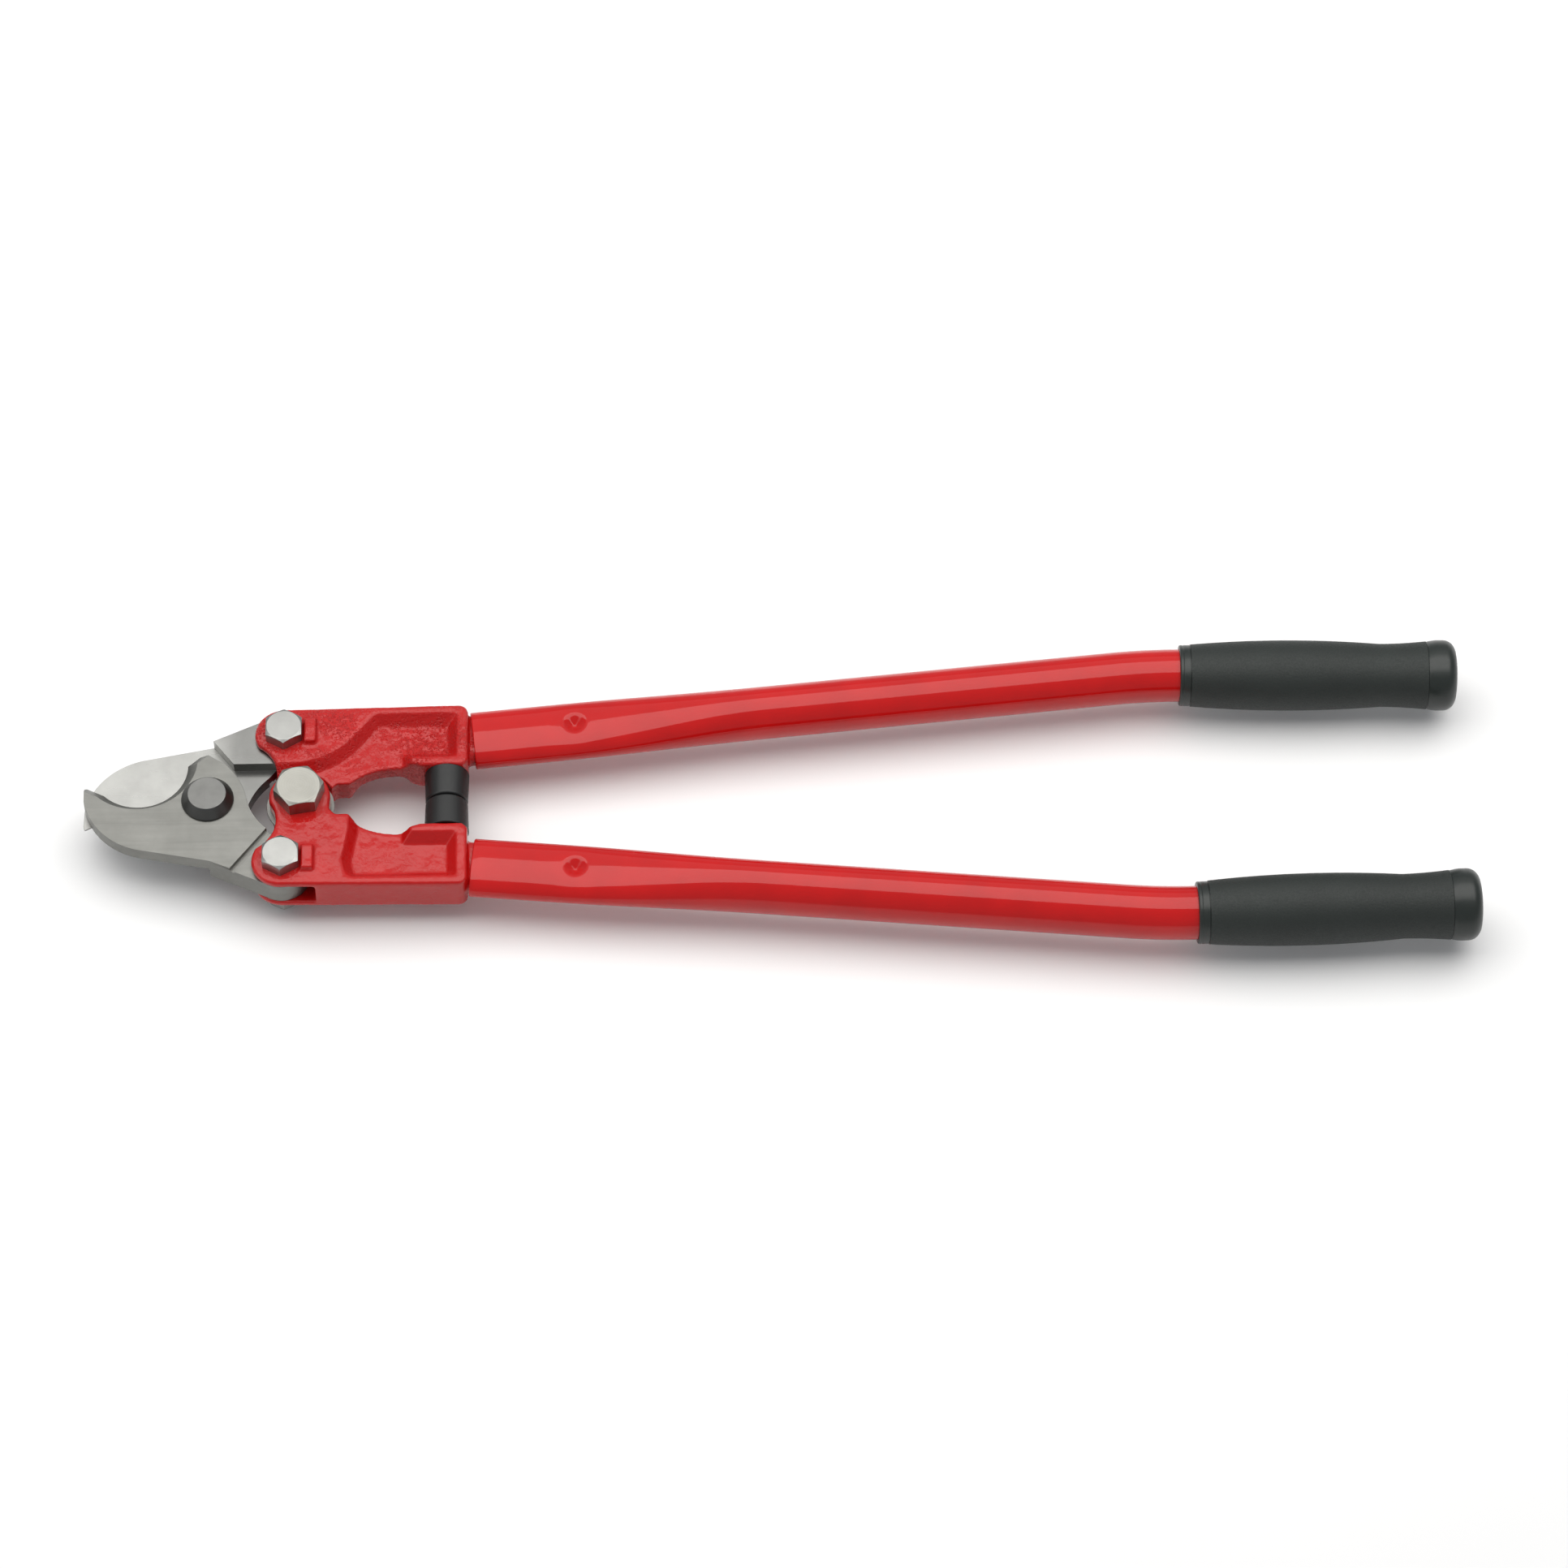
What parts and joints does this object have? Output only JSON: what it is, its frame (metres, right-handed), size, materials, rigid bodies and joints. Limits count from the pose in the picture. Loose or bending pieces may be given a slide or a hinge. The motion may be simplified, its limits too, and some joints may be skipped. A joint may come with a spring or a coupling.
{
  "type": "bolt cutters",
  "caption": "Compound-action hand cutter with hooked shear blades, cast yokes, long bent tube handles and moulded grips.",
  "frame": {"origin": "bottom centre of the bounding box of the closed tool lying flat, heads up", "axes": "+X from the blades to the grips, +Y towards the upper handle, +Z along the bolts towards their heads"},
  "size_m": [0.6576, 0.1684, 0.0438],
  "materials": {
    "painted_casting": "gloss red enamel over a slightly pitted casting",
    "painted_tube": "smooth gloss red enamel",
    "grip_rubber": "matt stippled charcoal moulding with smooth ends",
    "bumper_rubber": "semi-matt black",
    "ground_steel": "ground blade steel with fine brush marks",
    "zinc_steel": "bright zinc-plated fastener steel",
    "dark_steel": "dark oiled steel with a lighter top"
  },
  "bodies": {
    "lower_handle": {"lower_yoke": "painted_casting", "lower_handle_tube": "painted_tube", "lower_grip": "grip_rubber", "lower_bumper": "bumper_rubber", "lower_jaw_bolt": "zinc_steel", "lower_jaw_washer": "zinc_steel", "lower_jaw_nut": "zinc_steel", "centre_bolt": "zinc_steel", "centre_washer": "zinc_steel", "centre_nut": "zinc_steel", "lug_washer": "zinc_steel"},
    "upper_handle": {"upper_yoke": "painted_casting", "upper_handle_tube": "painted_tube", "upper_grip": "grip_rubber", "upper_bumper": "bumper_rubber", "upper_jaw_bolt": "zinc_steel", "upper_jaw_washer": "zinc_steel", "upper_jaw_nut": "zinc_steel"},
    "lower_jaw": {"lower_jaw": "ground_steel", "jaw_pivot_bolt": "dark_steel", "jaw_pivot_washer": "zinc_steel", "jaw_pivot_nut": "zinc_steel"},
    "upper_jaw": {"upper_jaw": "ground_steel"}
  },
  "joints": [
    {"name": "handle_pivot", "type": "hinge", "parent": "lower_handle", "child": "upper_handle", "pos_m": [-0.22628, 0, 0.025], "axis": [0, 0, 1], "range_deg": [0, 75]},
    {"name": "lower_jaw_hinge", "type": "hinge", "parent": "lower_handle", "child": "lower_jaw", "pos_m": [-0.23428, -0.036, 0.025], "axis": [0, 0, 1], "range_deg": [0, 54]},
    {"name": "upper_jaw_hinge", "type": "hinge", "parent": "upper_handle", "child": "upper_jaw", "pos_m": [-0.23428, 0.036, 0.025], "axis": [0, 0, 1], "range_deg": [-54, 0]}
  ],
  "couplings": [
    {"joint": "lower_jaw_hinge", "follows": "handle_pivot", "ratio": 0.716},
    {"joint": "upper_jaw_hinge", "follows": "handle_pivot", "ratio": -0.716}
  ]
}
